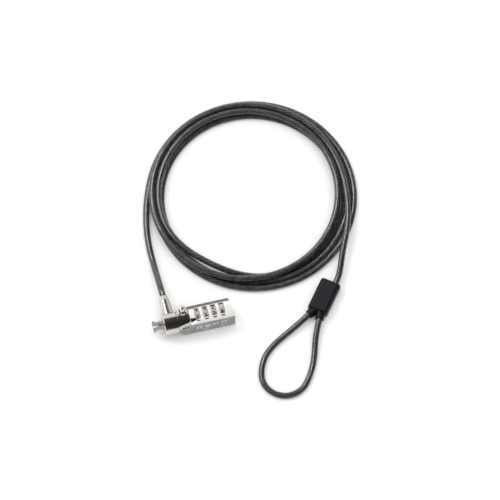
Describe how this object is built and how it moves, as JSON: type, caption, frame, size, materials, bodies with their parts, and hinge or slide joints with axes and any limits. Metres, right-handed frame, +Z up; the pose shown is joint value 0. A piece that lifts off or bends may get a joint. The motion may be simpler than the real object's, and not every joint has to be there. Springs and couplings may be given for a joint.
{
  "type": "laptop cable lock",
  "caption": "Combination laptop cable lock: hooked nose for a security slot, swivel collar, push button and coiled jacketed wire rope ending in a crimped loop.",
  "frame": {"origin": "centre of the nose face that seats against the device, on the lock barrel's axis", "axes": "+X runs along the lock barrel from the nose to the tail, so the hooks point along -X; +Z is up with the rope lying on a table; the cable leaves the collar along +Y"},
  "size_m": [0.151, 0.2098, 0.0181],
  "materials": {
    "satin_nickel": "satin-polished nickel plate",
    "hardened_steel": "ground hardened steel",
    "dial_nickel": "satin nickel with filled black digits",
    "button_nickel": "polished nickel",
    "brass_ring": "machined brass",
    "spring_steel": "drawn spring wire",
    "rope_steel": "stranded galvanised steel wire",
    "smoke_jacket": "smoke-tinted clear vinyl",
    "crimp_aluminium": "pressed",
    "moulded_black": "satin moulded vinyl",
    "black_slider": "satin"
  },
  "bodies": {
    "cable": {"wire_rope": "rope_steel", "cable_jacket": "smoke_jacket", "rope_stop": "hardened_steel", "loop_crimp": "crimp_aluminium", "loop_sleeve": "moulded_black"},
    "collar": {"swivel_collar": "satin_nickel"},
    "lock_body": {"upper_casing": "satin_nickel", "lower_cover": "satin_nickel", "nose_barrel": "hardened_steel", "nose_pin": "hardened_steel", "hook_pin": "hardened_steel", "casing_screws": "hardened_steel", "button_bezel": "satin_nickel", "detent_spring": "spring_steel", "hook_spring": "spring_steel", "spindle_spring": "spring_steel"},
    "button": {"button": "button_nickel"},
    "spindle": {"spindle": "hardened_steel"},
    "hook_left": {"hook_left": "hardened_steel"},
    "hook_right": {"hook_right": "hardened_steel"},
    "reset_slider": {"reset_slider": "black_slider"},
    "dial_1": {"dial_1": "dial_nickel", "code_ring_1": "brass_ring"},
    "dial_2": {"dial_2": "dial_nickel", "code_ring_2": "brass_ring"},
    "dial_3": {"dial_3": "dial_nickel", "code_ring_3": "brass_ring"},
    "dial_4": {"dial_4": "dial_nickel", "code_ring_4": "brass_ring"}
  },
  "joints": [
    {"name": "cable_spin", "type": "hinge", "parent": "cable", "child": "collar", "pos_m": [0.0045, 0.012, 0], "axis": [0, 1, 0], "continuous": true},
    {"name": "lock_swivel", "type": "hinge", "parent": "collar", "child": "lock_body", "pos_m": [0.0045, 0, 0], "axis": [1, 0, 0], "continuous": true},
    {"name": "button_press", "type": "slide", "parent": "lock_body", "child": "button", "axis": [0, -0.5446, -0.8387], "range_m": [0, 0.0028]},
    {"name": "spindle_slide", "type": "slide", "parent": "lock_body", "child": "spindle", "axis": [1, 0, 0], "range_m": [0, 0.00281], "deforming": ["spindle_spring"]},
    {"name": "hook_left_swing", "type": "hinge", "parent": "lock_body", "child": "hook_left", "pos_m": [0.0025, 0, 0], "axis": [0, 0, 1], "range_deg": [0, 5.05], "deforming": ["hook_spring"]},
    {"name": "hook_right_swing", "type": "hinge", "parent": "lock_body", "child": "hook_right", "pos_m": [0.0025, 0, 0], "axis": [0, 0, 1], "range_deg": [-5.05, 0]},
    {"name": "reset_slide", "type": "slide", "parent": "lock_body", "child": "reset_slider", "axis": [1, 0, 0], "range_m": [0, 0.0026]},
    {"name": "dial_1_turn", "type": "hinge", "parent": "lock_body", "child": "dial_1", "pos_m": [0.0222, 0, 0], "axis": [1, 0, 0], "continuous": true},
    {"name": "dial_2_turn", "type": "hinge", "parent": "lock_body", "child": "dial_2", "pos_m": [0.0276, 0, 0], "axis": [1, 0, 0], "continuous": true},
    {"name": "dial_3_turn", "type": "hinge", "parent": "lock_body", "child": "dial_3", "pos_m": [0.033, 0, 0], "axis": [1, 0, 0], "continuous": true},
    {"name": "dial_4_turn", "type": "hinge", "parent": "lock_body", "child": "dial_4", "pos_m": [0.0384, 0, 0], "axis": [1, 0, 0], "continuous": true}
  ],
  "couplings": [
    {"joint": "spindle_slide", "follows": "button_press", "ratio": 1},
    {"joint": "hook_left_swing", "follows": "button_press", "rad_per_m": 31.167},
    {"joint": "hook_right_swing", "follows": "button_press", "rad_per_m": -31.167}
  ]
}
